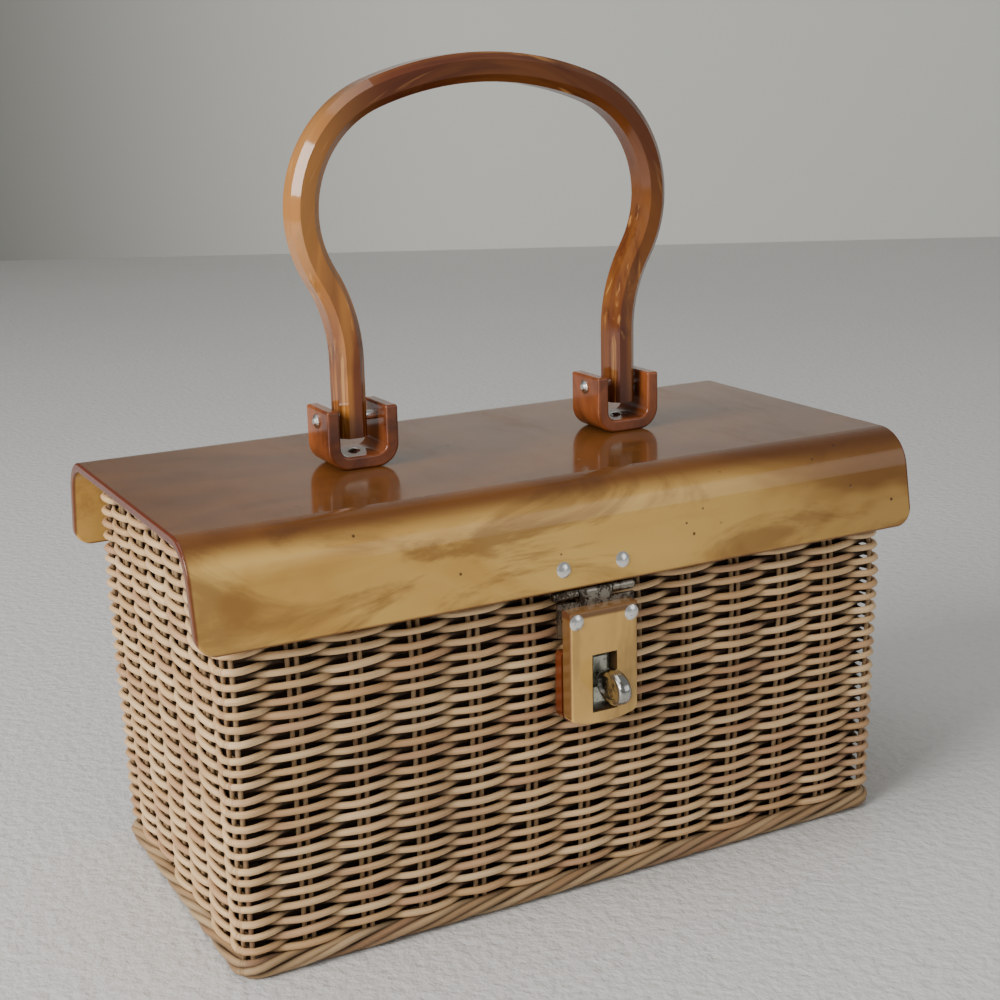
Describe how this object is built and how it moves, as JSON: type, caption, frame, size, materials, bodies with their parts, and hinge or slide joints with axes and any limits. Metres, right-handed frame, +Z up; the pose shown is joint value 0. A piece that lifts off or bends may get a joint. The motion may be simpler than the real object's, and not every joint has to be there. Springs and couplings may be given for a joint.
{
  "type": "box bag",
  "caption": "Woven wicker box bag with a bent marbled plastic lid, a hoop handle on two brackets, and a turn-lock latch.",
  "frame": {"origin": "middle of the flat underside of the basket's foot border, at the height of what it stands on", "axes": "+X along the bag's length, towards the right when it is seen from the front; +Y from the latch to the rear hinges; +Z up"},
  "size_m": [0.24, 0.1451, 0.2499],
  "materials": {
    "wicker": "satin",
    "lid_plastic": "gloss",
    "handle_plastic": "gloss",
    "bracket_plastic": "gloss",
    "rivet_metal": "satin",
    "knob_metal": "gloss",
    "lock_metal": "satin",
    "hinge_metal": "tarnished"
  },
  "bodies": {
    "basket": {"basket_base": "wicker", "basket_wall": "wicker", "foot_border": "wicker", "left_rear_basket_rivets": "rivet_metal", "left_rear_hinge_basket_leaf": "hinge_metal", "left_rear_hinge_block": "bracket_plastic", "lock_back_plate": "lock_metal", "lock_block": "bracket_plastic", "lock_plate": "lock_metal", "lock_rivets": "rivet_metal", "right_rear_basket_rivets": "rivet_metal", "right_rear_hinge_basket_leaf": "hinge_metal", "right_rear_hinge_block": "bracket_plastic", "rim_border": "wicker"},
    "lid": {"lid": "lid_plastic", "left_bracket": "bracket_plastic", "right_bracket": "bracket_plastic", "left_handle_pin": "rivet_metal", "right_handle_pin": "rivet_metal", "left_bracket_rivet": "rivet_metal", "right_bracket_rivet": "rivet_metal", "left_rear_hinge_lid_leaf": "hinge_metal", "right_rear_hinge_lid_leaf": "hinge_metal", "left_rear_hinge_pin": "hinge_metal", "right_rear_hinge_pin": "hinge_metal", "left_rear_lid_rivets": "rivet_metal", "right_rear_lid_rivets": "rivet_metal", "latch_hinge_lid_leaf": "hinge_metal", "latch_hinge_pin": "hinge_metal", "latch_apron_rivets": "rivet_metal"},
    "handle": {"handle": "handle_plastic"},
    "latch": {"latch_plate": "lid_plastic", "latch_hinge_plate_leaf": "hinge_metal", "latch_plate_rivets": "rivet_metal"},
    "knob": {"turn_knob": "knob_metal", "knob_washer": "knob_metal"}
  },
  "joints": [
    {"name": "lid_hinge", "type": "hinge", "parent": "basket", "child": "lid", "pos_m": [0, 0.0626, 0.0972], "axis": [-1, 0, 0], "range_deg": [0, 105]},
    {"name": "handle_swing", "type": "hinge", "parent": "lid", "child": "handle", "pos_m": [0, 0, 0.1436], "axis": [1, 0, 0], "range_deg": [-98, 98]},
    {"name": "latch_swing", "type": "hinge", "parent": "lid", "child": "latch", "pos_m": [0, -0.0626, 0.0972], "axis": [-1, 0, 0], "range_deg": [0, 90]},
    {"name": "turn_knob", "type": "hinge", "parent": "basket", "child": "knob", "pos_m": [0, -0.0736, 0.0708], "axis": [0, -1, 0], "range_deg": [0, 90]}
  ]
}
